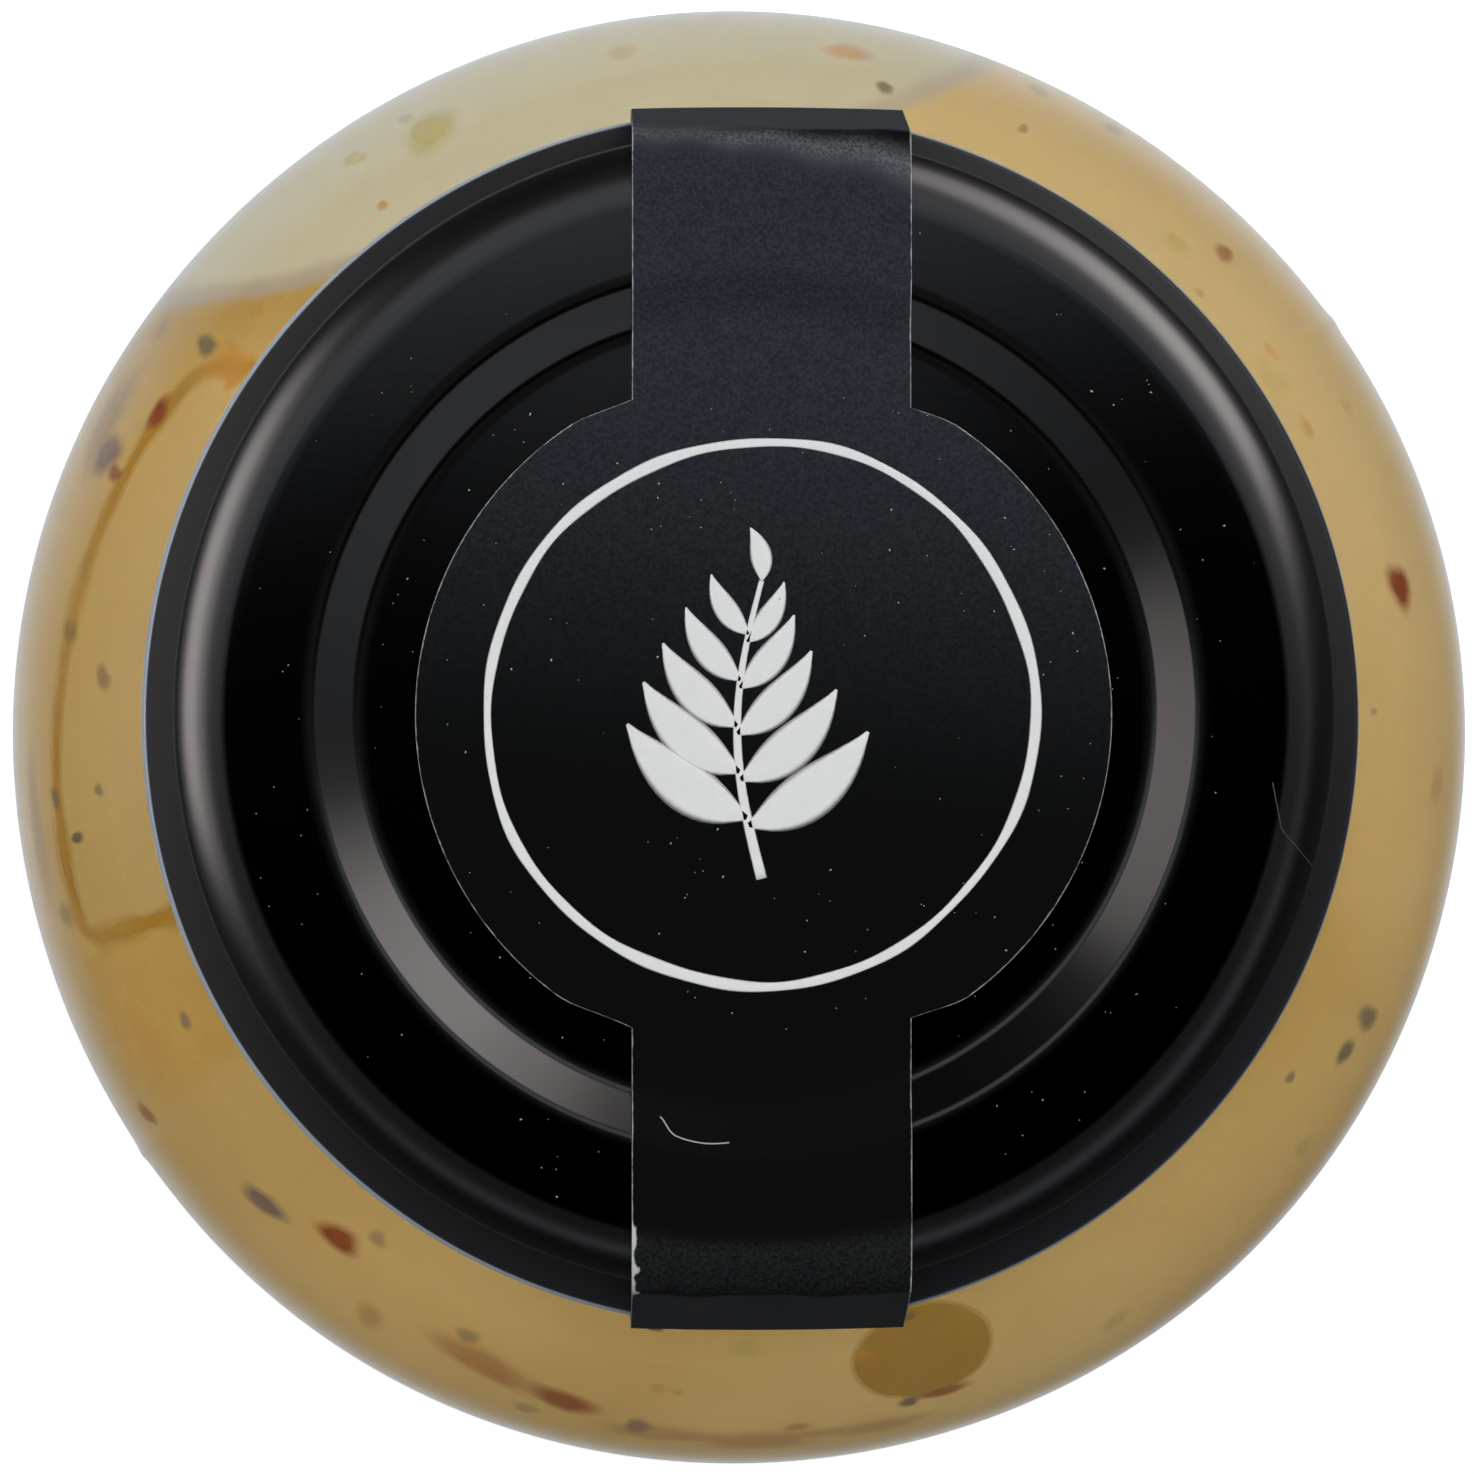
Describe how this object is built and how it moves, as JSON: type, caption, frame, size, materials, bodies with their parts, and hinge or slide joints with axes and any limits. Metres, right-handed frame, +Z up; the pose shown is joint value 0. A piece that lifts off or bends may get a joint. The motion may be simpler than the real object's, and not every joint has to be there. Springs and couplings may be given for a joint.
{
  "type": "salad dressing bottle",
  "caption": "Clear glass bottle of pale brown dressing with herb flecks, closed by a black twist-off cap under a dark paper seal.",
  "frame": {"origin": "middle of the foot ring, on the plane the bottle stands on", "axes": "+Z up along the bottle's axis, +Y along the paper strap, +X across it"},
  "size_m": [0.059, 0.059, 0.1394],
  "materials": {
    "clear_glass": "pressed and blown flint glass, polished by fire",
    "dressing": "oily emulsion, pale brown, with small flecks of herbs and vegetables",
    "cap_metal": "black gloss lacquer on tinplate",
    "seal_paper": "matt uncoated charcoal paper with a white core"
  },
  "bodies": {
    "root": {"glass_bottle": "clear_glass", "dressing": "dressing", "cap": "cap_metal", "seal_label": "seal_paper"}
  },
  "joints": []
}
